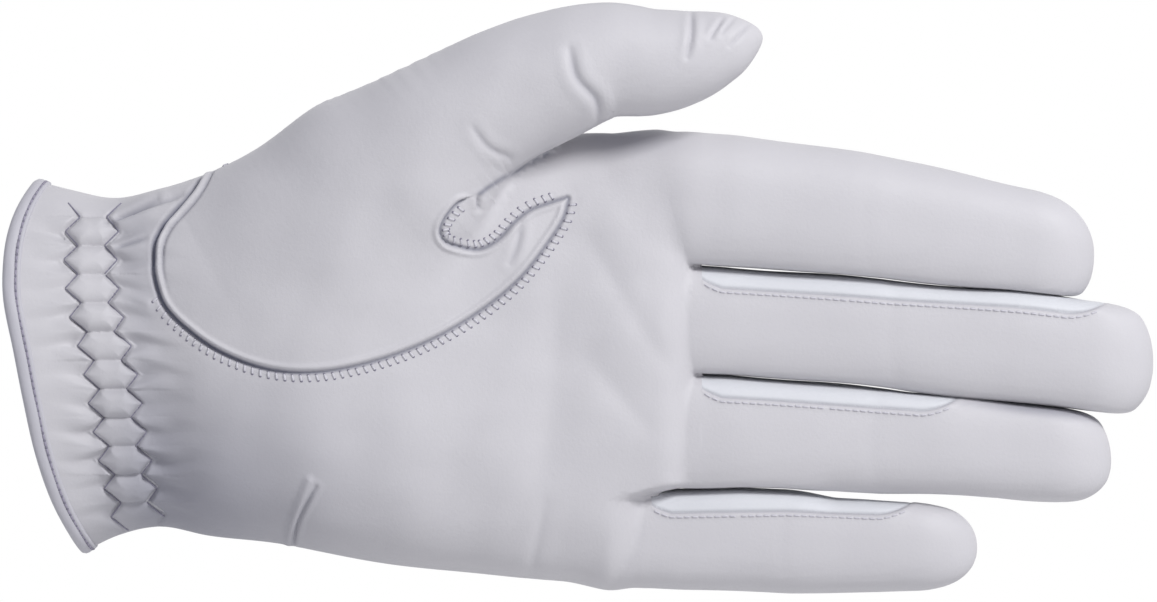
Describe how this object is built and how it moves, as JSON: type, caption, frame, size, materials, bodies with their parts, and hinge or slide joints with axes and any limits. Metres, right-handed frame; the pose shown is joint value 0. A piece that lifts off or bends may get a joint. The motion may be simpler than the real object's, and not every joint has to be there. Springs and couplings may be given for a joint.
{
  "type": "golf glove",
  "caption": "Left-hand golf glove in thin white leather, rounded as if worn, with stitched side strips, an elastic wrist and a closing tab on the back.",
  "frame": {"origin": "middle of the wrist mouth, where the wearer's hand goes in", "axes": "+X from the wrist to the fingertips, +Y out of the back of the hand (the palm faces -Y), +Z towards the thumb"},
  "size_m": [0.2293, 0.0528, 0.116],
  "materials": {
    "leather": "matte, fine grained",
    "gusset_leather": "matte, fine grained",
    "binding_leather": "matte, smooth",
    "thread": "twisted thread",
    "elastic": "ribbed woven elastic",
    "loop_fabric": "fine loop pile",
    "hook_plastic": "small moulded hooks",
    "tab_cloth": "close weave",
    "label_cloth": "satin weave, blank"
  },
  "bodies": {
    "hand": {"palm_panel": "leather", "back_panel": "leather", "thumb_panel": "leather", "hem_binding": "binding_leather", "wrist_elastic": "elastic", "slit_binding": "binding_leather", "size_label": "label_cloth", "hem_thread": "thread", "elastic_thread": "thread", "thumb_seam_thread": "thread", "loop_pad": "loop_fabric", "tab_sewn_end": "leather"},
    "index_lower": {"index_front_lower": "leather", "index_back_lower": "leather", "index_gusset_outer_side_lower": "gusset_leather"},
    "index_upper": {"index_front_upper": "leather", "index_back_upper": "leather", "index_gusset_outer_side_upper": "gusset_leather"},
    "middle_lower": {"middle_front_lower": "leather", "middle_back_lower": "leather", "middle_gusset_thumb_side_lower": "gusset_leather", "middle_gusset_outer_side_lower": "gusset_leather"},
    "middle_upper": {"middle_front_upper": "leather", "middle_back_upper": "leather", "middle_gusset_thumb_side_upper": "gusset_leather", "middle_gusset_outer_side_upper": "gusset_leather"},
    "ring_lower": {"ring_front_lower": "leather", "ring_back_lower": "leather", "ring_gusset_thumb_side_lower": "gusset_leather", "ring_gusset_outer_side_lower": "gusset_leather"},
    "ring_upper": {"ring_front_upper": "leather", "ring_back_upper": "leather", "ring_gusset_thumb_side_upper": "gusset_leather", "ring_gusset_outer_side_upper": "gusset_leather"},
    "little_lower": {"little_front_lower": "leather", "little_back_lower": "leather", "little_gusset_thumb_side_lower": "gusset_leather"},
    "little_upper": {"little_front_upper": "leather", "little_back_upper": "leather", "little_gusset_thumb_side_upper": "gusset_leather"},
    "thumb_lower": {"thumb_lower": "leather"},
    "thumb_upper": {"thumb_upper": "leather"},
    "tab": {"tab_leather": "leather", "tab_lining": "tab_cloth", "hook_pad": "hook_plastic"}
  },
  "joints": [
    {"name": "index_knuckle", "type": "hinge", "parent": "hand", "child": "index_lower", "pos_m": [0.134, -0.0104, 0.0323], "axis": [0, 0, -1], "range_deg": [0, 80], "stiffness_Nm_per_rad": 0.02},
    {"name": "index_bend", "type": "hinge", "parent": "index_lower", "child": "index_upper", "pos_m": [0.17034, -0.0102, 0.02762], "axis": [0, 0, -1], "range_deg": [0, 95], "stiffness_Nm_per_rad": 0.015},
    {"name": "middle_knuckle", "type": "hinge", "parent": "hand", "child": "middle_lower", "pos_m": [0.134, -0.0104, 0.0076], "axis": [0, 0, -1], "range_deg": [0, 80], "stiffness_Nm_per_rad": 0.02},
    {"name": "middle_bend", "type": "hinge", "parent": "middle_lower", "child": "middle_upper", "pos_m": [0.17558, -0.0102, 0.00448], "axis": [0, 0, -1], "range_deg": [0, 95], "stiffness_Nm_per_rad": 0.015},
    {"name": "ring_knuckle", "type": "hinge", "parent": "hand", "child": "ring_lower", "pos_m": [0.134, -0.0101, -0.0146], "axis": [0, 0, -1], "range_deg": [0, 80], "stiffness_Nm_per_rad": 0.02},
    {"name": "ring_bend", "type": "hinge", "parent": "ring_lower", "child": "ring_upper", "pos_m": [0.17172, -0.00991, -0.01611], "axis": [0, 0, -1], "range_deg": [0, 95], "stiffness_Nm_per_rad": 0.015},
    {"name": "little_knuckle", "type": "hinge", "parent": "hand", "child": "little_lower", "pos_m": [0.124, -0.0092, -0.0358], "axis": [0, 0, -1], "range_deg": [0, 80], "stiffness_Nm_per_rad": 0.02},
    {"name": "little_bend", "type": "hinge", "parent": "little_lower", "child": "little_upper", "pos_m": [0.15408, -0.00903, -0.03695], "axis": [0, 0, -1], "range_deg": [0, 95], "stiffness_Nm_per_rad": 0.015},
    {"name": "thumb_knuckle", "type": "hinge", "parent": "hand", "child": "thumb_lower", "pos_m": [0.1133, -0.0224, 0.0516], "axis": [0, 0.5736, -0.8191], "range_deg": [0, 40], "stiffness_Nm_per_rad": 0.03},
    {"name": "thumb_bend", "type": "hinge", "parent": "thumb_lower", "child": "thumb_upper", "pos_m": [0.132, -0.02125, 0.05515], "axis": [0, 0.5736, -0.8191], "range_deg": [0, 50], "stiffness_Nm_per_rad": 0.02},
    {"name": "tab_hinge", "type": "hinge", "parent": "hand", "child": "tab", "pos_m": [0.043, 0.02305, 0.01315], "axis": [0.9966, -0.0827, 0], "range_deg": [0, 150]}
  ]
}
